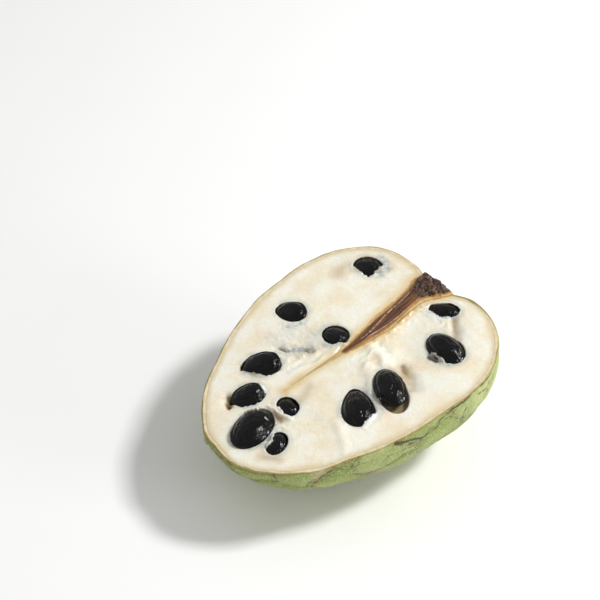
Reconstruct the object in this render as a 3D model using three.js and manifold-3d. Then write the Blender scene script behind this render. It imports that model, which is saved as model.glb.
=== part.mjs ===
// Half of a custard apple (a cherimoya) with a scaly green rind, cut lengthwise and lying on its
// skin with the cut face up. Lengths are millimetres.
//
// The pieces are modelled in the fruit's own frame: x runs along the core from the middle of the
// cut face towards the stem, y runs across the face, z stands square to the face, and the body
// hangs below z = 0. A group then tips the half and stands it on its resting spot.

import * as THREE from "three";
import { mergeVertices } from "three/addons/utils/BufferGeometryUtils.js";
import Module from "manifold-3d";

const wasm = await Module();
wasm.setup();

const { PI, abs, acos, cos, exp, floor, hypot, max, min, pow, sin, sqrt } = Math;
const { degToRad, smoothstep } = THREE.MathUtils;

// ---- Driving dimensions ----

// How the half lies: the stem end is tipped up, and the middle of the cut face is this high.
// Its other two numbers put the part's origin under the middle of its bounding box.
const STEM_UP = degToRad(8.65);
const FACE_HEIGHT = 39.7;
const FACE_MIDDLE = [-1.79, 1.07, FACE_HEIGHT];

// Distance of the skin from the middle of the cut face, every 15 degrees from the stem notch
// round to the apex: along the two edges of the cut, and straight down through the body.
const STATION = degToRad(15);
const LEFT_EDGE = [52, 57.8, 61.7, 59.7, 54.2, 48.3, 45, 42.5, 42, 43.3, 47.2, 51.9, 56.3];
const RIGHT_EDGE = [52, 60.6, 63.3, 61.7, 56.6, 50.6, 48.3, 47.7, 48.7, 52.6, 56.1, 58.6, 56.3];
const UNDERSIDE = [52, 58, 60.5, 55.8, 48.6, 44, 41.1, 39.4, 39.4, 41.5, 45.4, 50.2, 56.3];
const SQUARENESS = 2.12; // of a cross-section, where 2 is an ellipse

const RIND_THICKNESS = 1.8;
const CLEARANCE = 0.35; // between neighbouring pieces

// The scales of the rind: oval pads with sunken rims, laid out in a spiral round the core, each
// one lapping over its neighbours nearer the apex. Their half length and half width are shares
// of the distance from the middle of the face, because the spiral spreads with it.
const SCALE_COUNT = 84; // on the whole fruit
const SCALE_STRAY = 1.6; // how far a scale's middle strays from the spiral
const SCALE_HALF_LENGTH = 0.28;
const SCALE_HALF_WIDTH = 0.24;
const SCALE_RISE = 0.6; // of a pad's flat middle above its rim
const SCALE_SHOULDER = 5; // over which a pad rounds down to its rim

// The core: [x, y of its middle, half width, depth below the face, crown above the face].
const CORE = [
  [-16, 0.2, 0.7, 1.0, 0.15],
  [-8, 0.3, 0.9, 1.4, 0.15],
  [2, -0.1, 1.3, 2.2, 0.2],
  [10, -0.6, 1.7, 3.0, 0.25],
  [18, -0.4, 3.0, 4.2, 0.3],
  [27, 0.4, 4.2, 5.2, 0.3],
  [38, 1.6, 4.1, 5.6, 0.4],
  [45, 2.3, 5.0, 6.2, 1.0],
  [50, 1.7, 7.2, 7.2, 2.1],
  [54.5, 0.4, 8.4, 7.4, 2.4],
];
const CORE_TIP = 1.4; // bulge of the dry stem scar past the last section

// The seeds: [x, y, z of the middle, length, width, thickness, heading, tilt, roll], in degrees.
// Heading turns the long axis from +x towards +y, tilt lifts its far end, and roll turns it.
const SEEDS = [
  [42.0, 27.2, -1.6, 14, 11.4, 7.0, 101, 0, 0],
  [4.8, 30.2, -1.0, 14, 10.6, 7.0, 121, -12, -14],
  [9.6, 9.0, -1.6, 13, 10, 6.4, 95, -12, 0],
  [-20.5, 16.1, -1.0, 16.6, 12.6, 8.0, 150, -15, -16],
  [-33.0, 7.6, -1.2, 14.2, 11.6, 7.4, 165, -16, -12],
  [-25.5, -6.5, -1.8, 11.4, 8.8, 6.9, 84, -3, -3],
  [-41.0, -5.8, 0.0, 19.8, 14.0, 8.8, 17, -3, 3],
  [-38.6, -17.3, -1.4, 10.6, 7.6, 6.6, 32, -2, 0],
  [-7.5, -24.6, -0.6, 18.4, 11.9, 8.0, 60, -3, -3],
  [6.7, -26.3, 0.4, 18.6, 11.8, 8.3, 67, 0, 5],
  [34.4, -25.8, -0.6, 17.8, 11.8, 8.2, 88, 0, 4],
  [47.2, -10.9, -2.2, 15.4, 9.4, 6.8, 122, 0, 0],
];

// Hollows and swells of the soft flesh: [x, y, rise, spread along x, spread along y].
const SWELLS = [
  [-3.5, 13, -1.8, 6, 3.4], // an empty seed pocket
  [24, -20, -1.5, 7, 6], // a trough that joins the two seeds nearest the notch to the next
  [43, -20, -1.4, 5, 5],
  [32, -9, -0.7, 4, 2.5],
  [14, -15, 0.7, 5, 4],
  [-18, -24, 0.5, 2.5, 9],
];

// How finely each sheet is divided, along the fruit and round it.
const SKIN_CELLS = [64, 52];
const INNER_CELLS = [28, 24];
const FACE_RINGS = 8;
const CORE_SIDES = 12;
const CORE_SECTIONS = 18;
const SEED_CELLS = [14, 8];

// ---- Small helpers ----

// Value of a curve given at even stations, mirrored past both ends, smooth throughout.
function alongStations(values, angle) {
  const last = values.length - 1;
  const t = min(max(angle / STATION, 0), last - 1e-9);
  const i = floor(t);
  const f = t - i;
  const at = (k) => values[k < 0 ? -k : k > last ? 2 * last - k : k];
  const [a, b, c, d] = [at(i - 1), at(i), at(i + 1), at(i + 2)];
  return b + 0.5 * f * (c - a + f * (2 * a - 5 * b + 4 * c - d + f * (3 * (b - c) + d - a)));
}

// A repeatable draw between 0 and 1, one of its own for each item and use.
function draw(item, use) {
  const x = sin(item * 12.9898 + use * 78.233) * 43758.5453;
  return x - floor(x);
}

// A closed solid from vertices and outward triangles.
function solid(points, faces) {
  return new wasm.Manifold(
    new wasm.Mesh({
      numProp: 3,
      vertProperties: new Float32Array(points.flat()),
      triVerts: new Uint32Array(faces.flat()),
    }),
  );
}

function solidOf(geometry) {
  const bare = geometry.clone();
  bare.deleteAttribute("normal");
  bare.deleteAttribute("uv");
  const merged = mergeVertices(bare, 1e-4);
  return new wasm.Manifold(
    new wasm.Mesh({
      numProp: 3,
      vertProperties: new Float32Array(merged.attributes.position.array),
      triVerts: new Uint32Array(merged.index.array),
    }),
  );
}

function geometryOf(manifold) {
  const mesh = manifold.getMesh();
  const geometry = new THREE.BufferGeometry();
  geometry.setAttribute("position", new THREE.BufferAttribute(mesh.vertProperties, 3));
  geometry.setIndex(new THREE.BufferAttribute(mesh.triVerts, 1));
  geometry.computeVertexNormals();
  return geometry;
}

// ---- The body's form ----

// Unit direction from the middle of the face: "along" turns from the stem (0) to the apex (PI),
// "round" from the left edge of the cut (0) down and up to its right edge (PI).
function direction(along, round) {
  return [cos(along), sin(along) * cos(round), -sin(along) * sin(round)];
}

// Distance of the smooth body's surface in that direction.
function bodyRadius(along, round) {
  const across = cos(round);
  const edge = alongStations(across >= 0 ? LEFT_EDGE : RIGHT_EDGE, along);
  const under = alongStations(UNDERSIDE, along);
  const sum =
    pow(abs(across) / edge, SQUARENESS) + pow(abs(sin(round)) / under, SQUARENESS);
  return pow(sum, -1 / SQUARENESS);
}

function bodyPoint(along, round) {
  const radius = bodyRadius(along, round);
  return direction(along, round).map((c) => c * radius);
}

// The scales of the whole fruit, from the stem to the apex: a golden-angle spiral, each middle a
// little astray.
const GOLDEN_ANGLE = PI * (3 - sqrt(5));
const scales = Array.from({ length: SCALE_COUNT }, (_, i) => {
  const along = acos(1 - (2 * (i + 0.5)) / SCALE_COUNT);
  const middle = bodyPoint(along, i * GOLDEN_ANGLE);
  const reach = hypot(...middle);
  return {
    middle: middle.map((c, k) => c + SCALE_STRAY * (2 * draw(i, k) - 1)),
    halfLength: SCALE_HALF_LENGTH * reach,
    halfWidth: SCALE_HALF_WIDTH * reach,
  };
});

// Height of the rind's relief at a point of the smooth surface: zero on a pad, sunk at its rim.
// The first scale from the stem that covers the point hides the rims of those after it.
function relief(point) {
  let toRim = Infinity;
  for (const { middle, halfLength, halfWidth } of scales) {
    const [x, y, z] = point.map((c, k) => c - middle[k]);
    const share = max(hypot(x / halfLength, y / halfWidth, z / halfWidth), 1e-6);
    toRim = min(toRim, (abs(share - 1) * hypot(x, y, z)) / share);
    if (share < 1) break;
  }
  return -SCALE_RISE * max(1 - toRim / SCALE_SHOULDER, 0) ** 2;
}

// Distance of the floor under the half, in a direction of the fruit's frame.
function floorDistance([x, , z]) {
  const climb = x * sin(STEM_UP) + z * cos(STEM_UP);
  return climb < 0 ? FACE_HEIGHT / -climb : Infinity;
}

function skinRadius(along, round) {
  const way = direction(along, round);
  const radius = bodyRadius(along, round) + relief(bodyPoint(along, round));
  return min(radius, floorDistance(way));
}

// Inside of the rind: under the deepest seam, and clear of the flat spot.
function innerRadius(along, round) {
  const way = direction(along, round);
  const radius = min(bodyRadius(along, round), floorDistance(way) + SCALE_RISE);
  return radius - SCALE_RISE - RIND_THICKNESS;
}

// ---- Sheets ----

// A half-round sheet of points and outward triangles, and its edge in the plane of the cut,
// running from the stem over the left edge to the apex and back over the right edge.
function sheet(radius, [columns, rows], first = 0) {
  const points = [];
  const place = [];
  for (let i = 0; i <= columns; i++) {
    const along = (PI * i) / columns;
    const pole = i === 0 || i === columns;
    place.push([]);
    for (let j = 0; j <= rows; j++) {
      const round = (PI * j) / rows;
      if (!pole || j === 0) {
        const r = radius(along, round);
        const point = direction(along, round).map((c) => c * r);
        if (pole || j === 0 || j === rows) point[2] = 0;
        points.push(point);
      }
      place[i].push(first + points.length - 1);
    }
  }
  const faces = [];
  for (let i = 0; i < columns; i++) {
    for (let j = 0; j < rows; j++) {
      const [a, b] = [place[i][j], place[i][j + 1]];
      const [d, c] = [place[i + 1][j], place[i + 1][j + 1]];
      if (a !== b) faces.push([a, b, c]);
      if (c !== d) faces.push([a, c, d]);
    }
  }
  const left = place.map((column) => column[0]);
  const right = place.map((column) => column[rows]).slice(1, -1);
  return { points, faces, edge: [...left, ...right.reverse()] };
}

const flip = ([a, b, c]) => [a, c, b];

// ---- Rind: the green skin, a thin shell whose rim shows round the cut ----

function rindBody() {
  const outer = sheet(skinRadius, SKIN_CELLS);
  const inner = sheet(innerRadius, INNER_CELLS, outer.points.length);
  const points = [...outer.points, ...inner.points];
  const ring = [outer.edge, inner.edge.slice().reverse()];
  const flat = ring.map((loop) => loop.map((k) => new THREE.Vector2(...points[k])));
  const order = ring.flat();
  const rim = THREE.ShapeUtils.triangulateShape(flat[0], [flat[1]]);
  const rimFaces = rim.map((face) => face.map((k) => order[k]));
  return solid(points, [...outer.faces, ...inner.faces.map(flip), ...rimFaces]);
}

// ---- Flesh: the white pulp that fills the rind, its cut face gently uneven ----

function swell(x, y) {
  return SWELLS.reduce((sum, [cx, cy, rise, sx, sy]) => {
    return sum + rise * exp(-0.5 * (((x - cx) / sx) ** 2 + ((y - cy) / sy) ** 2));
  }, 0);
}

function fleshBody() {
  const { points, faces, edge } = sheet(
    (along, round) => innerRadius(along, round) - CLEARANCE,
    INNER_CELLS,
  );
  const loops = [edge];
  for (let ring = FACE_RINGS - 1; ring > 0; ring--) {
    const share = ring / FACE_RINGS;
    loops.push(
      edge.map((k) => {
        const [x, y] = points[k].map((c) => c * share);
        return points.push([x, y, swell(x, y) * smoothstep(1 - share, 0, 0.1)]) - 1;
      }),
    );
  }
  for (let ring = 0; ring < loops.length - 1; ring++) {
    const [out, next] = [loops[ring], loops[ring + 1]];
    out.forEach((a, k) => {
      const b = out[(k + 1) % out.length];
      const [d, c] = [next[k], next[(k + 1) % out.length]];
      faces.push([a, b, c], [a, c, d]);
    });
  }
  const middle = points.push([0, 0, swell(0, 0)]) - 1;
  const last = loops.at(-1);
  last.forEach((a, k) => faces.push([a, last[(k + 1) % last.length], middle]));
  return solid(points, faces);
}

// ---- Core: the fibrous brown wedge that runs in from the stem ----

// The core swollen by "grow" on all sides; an "open" one stands well above the face, as a cutter.
function coreBody(grow = 0, open = false) {
  const path = CORE.map(([x, y]) => new THREE.Vector3(x, y, 0));
  const sizes = CORE.map(([, , half, depth, crown]) => new THREE.Vector3(half, depth, crown));
  const line = new THREE.CatmullRomCurve3(path, false, "centripetal");
  const size = new THREE.CatmullRomCurve3(sizes, false, "centripetal");
  const points = [];
  const section = (x, y, half, depth, crown) => {
    for (let k = 0; k < CORE_SIDES; k++) {
      const turn = (2 * PI * k) / CORE_SIDES;
      const height = sin(turn) > 0 ? crown : depth;
      points.push([x, y + half * cos(turn), height * sin(turn)]);
    }
  };
  for (let i = 0; i <= CORE_SECTIONS; i++) {
    const t = i / CORE_SECTIONS;
    const middle = line.getPoint(t);
    const { x: half, y: depth, z: crown } = size.getPoint(t);
    const stretch = i === 0 ? -grow : i === CORE_SECTIONS ? grow : 0;
    const top = open ? 8 : crown;
    section(middle.x + stretch, middle.y, half + grow, depth + grow, top);
  }
  const [endX, endY] = CORE.at(-1);
  const root = points.push([CORE[0][0] - grow, CORE[0][1], 0]) - 1;
  const tip = points.push([endX + grow + CORE_TIP, endY, -1]) - 1;
  const faces = [];
  for (let k = 0; k < CORE_SIDES; k++) {
    const next = (k + 1) % CORE_SIDES;
    for (let i = 0; i < CORE_SECTIONS; i++) {
      const [a, b] = [i * CORE_SIDES + k, i * CORE_SIDES + next];
      const [d, c] = [a + CORE_SIDES, b + CORE_SIDES];
      faces.push([a, b, c], [a, c, d]);
    }
    const end = CORE_SECTIONS * CORE_SIDES;
    faces.push([root, next, k], [tip, end + k, end + next]);
  }
  return solid(points, faces);
}

// ---- Seeds: flattened eggs with a keel round the edge ----

function seedGeometry([, , , length, width, thickness], grow = 0) {
  const geometry = new THREE.SphereGeometry(1, ...SEED_CELLS);
  const position = geometry.getAttribute("position");
  for (let i = 0; i < position.count; i++) {
    const across = position.getX(i);
    const along = position.getY(i);
    const up = position.getZ(i);
    const taper = 1 - 0.12 * along;
    const keel = 0.82 + 0.18 * up * up;
    position.setXYZ(
      i,
      (along * length) / 2 + along * grow,
      (-across * taper * width) / 2 - across * grow,
      (up * keel * taper * thickness) / 2 + up * grow,
    );
  }
  return geometry;
}

function seedTurn([, , , , , , heading, tilt, roll]) {
  return new THREE.Euler(degToRad(roll), degToRad(-tilt), degToRad(heading), "ZYX");
}

// The seed swollen by the clearance, in place in the fruit's frame: the cutter of its pocket.
function pocket(seed) {
  const place = new THREE.Matrix4().makeRotationFromEuler(seedTurn(seed));
  place.setPosition(...seed.slice(0, 3));
  return solidOf(seedGeometry(seed, CLEARANCE).applyMatrix4(place));
}

// ---- Assembly ----

const half = new THREE.Group();

function add(name, geometry, material) {
  const mesh = new THREE.Mesh(geometry, new THREE.MeshStandardMaterial(material));
  mesh.name = name;
  half.add(mesh);
  return mesh;
}

const coreCutter = coreBody(CLEARANCE, true);
const pockets = SEEDS.map(pocket);

add("rind", geometryOf(rindBody().subtract(coreCutter)), {
  color: "#9fb06e",
  roughness: 0.6,
  metalness: 0,
});
add("flesh", geometryOf(pockets.reduce((a, b) => a.subtract(b), fleshBody().subtract(coreCutter))), {
  color: "#f1e9d8",
  roughness: 0.35,
  metalness: 0,
});
add("core", geometryOf(coreBody()), { color: "#8a5a35", roughness: 0.8, metalness: 0 });
SEEDS.forEach((seed, i) => {
  const name = "seed_" + String(i + 1).padStart(2, "0");
  const mesh = add(name, seedGeometry(seed), { color: "#1d1a17", roughness: 0.3, metalness: 0 });
  mesh.position.set(...seed.slice(0, 3));
  mesh.rotation.copy(seedTurn(seed));
});

half.rotation.y = -STEM_UP;
half.position.set(...FACE_MIDDLE);

export default half;
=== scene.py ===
# %% [markdown]
# # Half a custard apple
#
# A cherimoya-type custard apple is a heart-shaped fruit with a green rind of flat overlapping
# scales. Cut lengthwise it shows ivory pulp, a brown fibrous core that runs in from the stem, and
# glossy black seeds, each in its own pocket. This lesson builds the looks of that half: four
# kinds of piece (rind, pulp, core and seeds), each a mesh made from formulas in numpy and
# finished with a procedural material. They take the places of the construction model's solids.

# %% The construction model comes first
import math

import bpy
import numpy as np
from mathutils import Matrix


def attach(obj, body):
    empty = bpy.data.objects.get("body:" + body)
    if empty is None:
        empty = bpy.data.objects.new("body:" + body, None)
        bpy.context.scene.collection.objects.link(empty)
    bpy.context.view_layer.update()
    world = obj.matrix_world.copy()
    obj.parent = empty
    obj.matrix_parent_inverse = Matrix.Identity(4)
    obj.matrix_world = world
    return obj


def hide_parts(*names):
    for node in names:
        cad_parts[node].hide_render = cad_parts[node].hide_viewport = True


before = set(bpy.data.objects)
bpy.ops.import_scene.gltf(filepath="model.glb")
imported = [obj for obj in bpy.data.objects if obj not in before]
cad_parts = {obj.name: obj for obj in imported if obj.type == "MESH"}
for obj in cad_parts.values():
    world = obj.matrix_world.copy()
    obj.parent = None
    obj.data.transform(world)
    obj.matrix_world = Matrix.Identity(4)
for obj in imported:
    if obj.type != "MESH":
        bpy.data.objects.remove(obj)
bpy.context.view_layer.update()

# %% [markdown]
# ## Where the half lies
#
# Everything is worked out in the fruit's own frame, in millimetres: x runs along the core from
# the middle of the cut face towards the stem, y runs across the face, and the body hangs below
# z = 0. One function then tips the half with its stem end up, lifts it so that it stands on its
# resting spot, and turns millimetres into metres.

# %% The fruit's frame
STEM_UP = math.radians(8.65)
FACE_HEIGHT = 39.7
FACE_MIDDLE = np.array([-1.79, 1.07, FACE_HEIGHT])
TIP = np.array([
    [math.cos(STEM_UP), 0, -math.sin(STEM_UP)],
    [0, 1, 0],
    [math.sin(STEM_UP), 0, math.cos(STEM_UP)],
])


def in_place(points):
    """Points of the fruit's frame, in millimetres, where they lie in the part, in metres."""
    return (np.asarray(points) @ TIP.T + FACE_MIDDLE) / 1000


print("stem end is tipped up by", round(math.degrees(STEM_UP), 2), "degrees")

# %% [markdown]
# ## The camera
#
# A long lens keeps the fruit's own proportions: from 0.6 m away a 97 mm lens sees about 0.22 m.
# The camera looks down on the cut face from beyond its near edge, and it is made first, because
# it decides which side needs the most care.

# %% Camera
CAMERA_AZIMUTH = math.radians(-38.44)
CAMERA_ELEVATION = math.radians(40.26)
CAMERA_PLACE = (-0.28693, -0.34031, 0.44538)
CAMERA_LENS = 97.3
SENSOR_WIDTH = 36
camera_data = bpy.data.cameras.new("camera")
camera_data.lens = CAMERA_LENS
camera_data.sensor_width = SENSOR_WIDTH
camera = bpy.data.objects.new("camera", camera_data)
bpy.context.scene.collection.objects.link(camera)
camera.location = CAMERA_PLACE
camera.rotation_euler = (math.pi / 2 - CAMERA_ELEVATION, 0, CAMERA_AZIMUTH)
bpy.context.scene.camera = camera
print("camera stands", round(camera.location.length, 3), "m from the origin")

# %% [markdown]
# ## Tools for shapes: smooth curves and repeatable noise
#
# Fruit has no straight lines, so outlines are given as a few radii or widths and joined by a
# cubic curve. The small irregularities come from value noise: every cell of a grid gets a number
# from a hash of its whole-number place, and points in between blend smoothly. Blender has noise
# of its own, but a version in numpy works on all the points of a mesh at once.

# %% Curves through a few values
def smooth(t):
    """0 below 0, 1 above 1, and a soft step between."""
    t = np.clip(t, 0, 1)
    return t * t * (3 - 2 * t)


def stations(values, angle):
    """A smooth curve through values at even angles from 0 to pi, mirrored at both ends."""
    last = len(values) - 1
    place = np.clip(angle / math.pi * last, 0, last - 1e-9)
    i = place.astype(int)
    f = place - i
    row = np.array([values[1], *values, values[-2]], float)
    a, b, c, d = row[i], row[i + 1], row[i + 2], row[np.minimum(i + 3, last + 2)]
    return b + 0.5 * f * (c - a + f * (2 * a - 5 * b + 4 * c - d + f * (3 * (b - c) + d - a)))


def through(x, xs, ys):
    """A smooth curve through the points (xs, ys), level past both ends."""
    xs, ys = np.array(xs, float), np.array(ys, float)
    slope = np.gradient(ys, xs)
    i = np.clip(np.searchsorted(xs, x) - 1, 0, len(xs) - 2)
    width = xs[i + 1] - xs[i]
    t = np.clip((x - xs[i]) / width, 0, 1)
    rise = ys[i + 1] - ys[i]
    start, end = slope[i] * width, slope[i + 1] * width
    return ys[i] + t * start + t * t * (3 * rise - 2 * start - end) + t**3 * (start + end - 2 * rise)


print("middle of a soft step:", smooth(np.array(0.5)))


# %% Noise
def cell_value(cells, seed):
    """A repeatable number from -1 to 1 for each cell, from its whole-number coordinates."""
    x, y, z = (cells[..., k].astype(np.int64).astype(np.uint64) for k in range(3))
    mixed = x * np.uint64(73856093) ^ y * np.uint64(19349663) ^ z * np.uint64(83492791)
    mixed = (mixed ^ np.uint64(seed * 2654435761 + 97)) & np.uint64(0xFFFFFFFF)
    for factor in (2246822519, 3266489917):
        mixed = ((mixed ^ (mixed >> np.uint64(15))) * np.uint64(factor)) & np.uint64(0xFFFFFFFF)
    return (mixed ^ (mixed >> np.uint64(13))).astype(float) / 0x7FFFFFFF - 1


def noise(points, size, seed, layers=1):
    """Smooth noise of about -1 to 1 with lumps of the given size, in the points' own unit."""
    total = 0
    for layer in range(layers):
        spot = points / (size / 2**layer) + 31.7 * layer
        cell = np.floor(spot)
        part = smooth(spot - cell)
        value = 0
        for corner in np.ndindex(2, 2, 2):
            weight = np.prod(np.where(corner, part, 1 - part), axis=-1)
            value = value + weight * cell_value(cell + corner, seed + layer)
        total = total + value / 2**layer
    return total


def flat(x, y, stretch=(1, 1)):
    """Points of a flat sheet for noise, optionally squeezed along x and y."""
    return np.stack([x / stretch[0], y / stretch[1], 0 * x], -1)


trial = noise(np.random.default_rng(1).uniform(-50, 50, (2000, 3)), 5, 3)
print("noise runs from", trial.min().round(2), "to", trial.max().round(2))


# %% A mesh object from arrays
def grid_faces(rows, columns, closed):
    """Quads of a grid of points, row by row, whose last column joins the first if closed."""
    i, j = np.mgrid[0:rows - 1, 0:columns if closed else columns - 1]
    after = (j + 1) % columns
    corners = [i * columns + j, i * columns + after, (i + 1) * columns + after, (i + 1) * columns + j]
    return np.stack(corners, -1).reshape(-1, 4)


def capped_faces(rows, columns):
    """Faces of a closed grid, and a fan to one further point at its first and its last row."""
    faces = grid_faces(rows, columns, True).tolist()
    last_row = (rows - 1) * columns
    for k in range(columns):
        after = (k + 1) % columns
        faces.append([rows * columns, after, k])
        faces.append([rows * columns + 1, last_row + k, last_row + after])
    return faces


def make_piece(name, points, faces, node_names, values, sharp=()):
    """A smooth-shaded piece that stands for CAD nodes, with point values for its material. The
    edges between the points listed as sharp stay sharp."""
    mesh = bpy.data.meshes.new(name)
    mesh.from_pydata(in_place(points).tolist(), [], [[int(k) for k in face] for face in faces])
    mesh.shade_smooth()
    sharp = set(sharp)
    for edge in mesh.edges:
        edge.use_edge_sharp = edge.vertices[0] in sharp and edge.vertices[1] in sharp
    for key, numbers in values.items():
        layer = mesh.attributes.new(key, "FLOAT", "POINT")
        layer.data.foreach_set("value", np.asarray(numbers, np.float32))
    piece = bpy.data.objects.new(name, mesh)
    bpy.context.scene.collection.objects.link(piece)
    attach(piece, "root")
    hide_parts(*node_names)
    triangles = sum(len(polygon.vertices) - 2 for polygon in mesh.polygons)
    print(name, "has", triangles, "triangles")
    return piece


# %% [markdown]
# ## The body's form
#
# The half is a body of rays: from the middle of the cut face, every direction has one distance to
# the skin. Three rows of radii, 15 degrees apart from the stem notch to the apex, give the two
# edges of the cut and the line straight down, and a superellipse blends them. The notch at the
# stem is simply a shorter first radius.

# %% Radius of the body in any direction
LEFT_EDGE = [52, 57.8, 61.7, 59.7, 54.2, 48.3, 45, 42.5, 42, 43.3, 47.2, 51.9, 56.3]
RIGHT_EDGE = [52, 60.6, 63.3, 61.7, 56.6, 50.6, 48.3, 47.7, 48.7, 52.6, 56.1, 58.6, 56.3]
UNDERSIDE = [52, 58, 60.5, 55.8, 48.6, 44, 41.1, 39.4, 39.4, 41.5, 45.4, 50.2, 56.3]
SQUARENESS = 2.12


def body_radius(way):
    """Distance from the middle of the face to the smooth skin, along unit directions."""
    along = np.arccos(np.clip(way[..., 0], -1, 1))
    across, down = way[..., 1], -way[..., 2]
    turn = np.arctan2(np.abs(down), np.abs(across))
    edge = np.where(across >= 0, stations(LEFT_EDGE, along), stations(RIGHT_EDGE, along))
    under = stations(UNDERSIDE, along)
    share = (np.cos(turn) / edge) ** SQUARENESS + (np.sin(turn) / under) ** SQUARENESS
    return share ** (-1 / SQUARENESS)


def bowl_ways(turns, dips):
    """Unit directions by compass turn in the cut face and dip below it."""
    turn, dip = np.meshgrid(turns, dips)
    return np.stack([np.cos(dip) * np.cos(turn), np.cos(dip) * np.sin(turn), -np.sin(dip)], -1)


edge_ways = bowl_ways(np.linspace(0, 2 * math.pi, 8, endpoint=False), [0])
print("radii round the cut, mm:", body_radius(edge_ways).round(1).tolist())

# %% [markdown]
# ## The rind's scales
#
# Each scale is an oval pad. Their middles follow a golden-angle spiral from the stem to the apex,
# as seeds do in a sunflower, with a small repeatable stray. A scale laps over those nearer the
# apex, so at any point the first scale from the stem that covers it owns it, and only rims that
# no earlier scale hides can be seen. That gives rounded edges that all point to the apex.

# %% Scale middles and the distance to the nearest visible rim
SCALE_COUNT = 84
SCALE_STRAY = 1.6
SCALE_HALF_LENGTH = 0.28
SCALE_HALF_WIDTH = 0.24
SCALE_RISE = 0.6
SCALE_SHOULDER = 5
CRACKS = [
    # half width, points on the skin: corky cracks that cross the scales
    (0.3, [(13.7, -48.9, -2), (11.3, -48.7, -2.6), (10.8, -48.5, -5.7), (8.2, -48.2, -6.9),
           (4.6, -48.1, -6.7)]),
    (0.65, [(3.8, -48.1, -6.9), (-1, -48, -4), (-4.6, -47.6, -2.6), (-8.4, -46.9, -1.1)]),
    (0.2, [(2.5, -47.9, -7.5), (0.1, -47.3, -9.5), (-1.8, -45.9, -13.2)]),
    (0.4, [(38.5, -45.5, -0.8), (33.5, -47.6, -0.7), (29.1, -48.9, -0.6), (24.2, -49.4, -0.6),
           (18.4, -49.3, -0.8), (13.7, -48.9, -2)]),
    (0.3, [(37.2, -46.7, -3), (36.2, -46.6, -6.8), (29.1, -48.9, -3.4)]),
    (0.25, [(23.4, -49.1, -5.8), (22.2, -48.7, -8.4), (22, -47.6, -12.6)]),
    (0.15, [(17.5, -48.9, -5.4), (13.5, -48.7, -4.5), (10.6, -48.4, -6.5)]),
    (0.2, [(-27.8, -38.2, -12.7), (-19, -40.1, -15.7), (-13.8, -42.7, -14.4), (-8.7, -44.2, -14.3)]),
    (0.15, [(-23.8, -41.9, -5.7), (-22.3, -42.7, -4.2), (-22.6, -42.7, -2)]),
    (0.15, [(-31.2, -39.9, -1), (-26.6, -41.2, -4.3), (-22.4, -42.5, -4.7), (-16.9, -44.5, -4.5)]),
    (0.15, [(-40.1, -32.3, -11.2), (-40.2, -34.4, -6.4), (-35.8, -37.6, -4.2), (-29.9, -40.2, -3)]),
    (0.15, [(-13.7, -44, -11.1), (-11.9, -45.7, -6.2), (-5.8, -46.9, -6.6), (0, -47.5, -8.4)]),
]
CRACK_REACH = 1.0
NO_CRACK = -9.0  # half width where no crack is near
FAR = 50.0
GOLDEN_ANGLE = math.pi * (3 - math.sqrt(5))


def draw(item, use):
    """A repeatable draw between 0 and 1."""
    x = math.sin(item * 12.9898 + use * 78.233) * 43758.5453
    return x - math.floor(x)


def scale_middles():
    """Middles of the scales, stem first, and each one's distance from the middle of the face."""
    item = np.arange(SCALE_COUNT)
    along = np.arccos(1 - (2 * item + 1) / SCALE_COUNT)
    turn = item * GOLDEN_ANGLE
    way = np.stack([np.cos(along), np.sin(along) * np.cos(turn), -np.sin(along) * np.sin(turn)], -1)
    reach = body_radius(way)
    stray = [[SCALE_STRAY * (2 * draw(i, k) - 1) for k in range(3)] for i in item]
    return way * reach[:, None] + np.array(stray), reach


def scale_map(points):
    """For each skin point: distance to the nearest visible rim, its scale's number, and how far
    that rim lies towards the apex, from -1 to 1."""
    middles, reaches = scale_middles()
    to_rim = np.full(len(points), np.inf)
    owner = np.full(len(points), -1)
    facing = np.zeros(len(points))
    for number, (middle, reach) in enumerate(zip(middles, reaches)):
        offset = points - middle
        scaled = offset / (reach * np.array([SCALE_HALF_LENGTH, SCALE_HALF_WIDTH, SCALE_HALF_WIDTH]))
        share = np.maximum(np.linalg.norm(scaled, axis=-1), 1e-6)
        length = np.linalg.norm(offset, axis=-1)
        gap = np.abs(share - 1) * length / share
        closer = (owner < 0) & (gap < to_rim)
        to_rim[closer] = gap[closer]
        facing[closer] = (-offset[:, 0] / np.maximum(length, 1e-6))[closer]
        owner[(owner < 0) & (share < 1)] = number
    return to_rim, owner, facing


def crack_map(points):
    """Distance to the nearest crack, the same but negative on the crack's right-hand side, and
    that crack's half width. The signed one stays smooth from point to point across a crack."""
    nearest = np.full(points.shape[:-1], FAR)
    side = nearest.copy()
    half = np.full(points.shape[:-1], NO_CRACK)
    for half_width, corners in CRACKS:
        for start, end in zip(np.array(corners), np.array(corners[1:])):
            run = end - start
            t = np.clip((points - start) @ run / (run @ run), 0, 1)
            offset = points - start - t[..., None] * run
            away = np.linalg.norm(offset, axis=-1)
            closer = away < nearest
            left = np.sign((np.cross(run, offset) * points).sum(-1))
            side = np.where(closer, away * left, side)
            half = np.where(closer & (away < CRACK_REACH), half_width, half)
            nearest = np.minimum(nearest, away)
    return nearest, side, half


print("scales on the whole fruit:", len(scale_middles()[0]))

# %% [markdown]
# ## The rind
#
# The rind is a shell about two millimetres thick. It could be a sphere sculpted by hand, but a
# grid of rays is exact: one profile runs from the lowest point up the skin to the cut, across the
# cut's rim, and down inside to the lowest point again, and it sweeps round the face. The skin
# dips to each scale's rim, and it is clipped where the half rests, as soft skin flattens.

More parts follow.
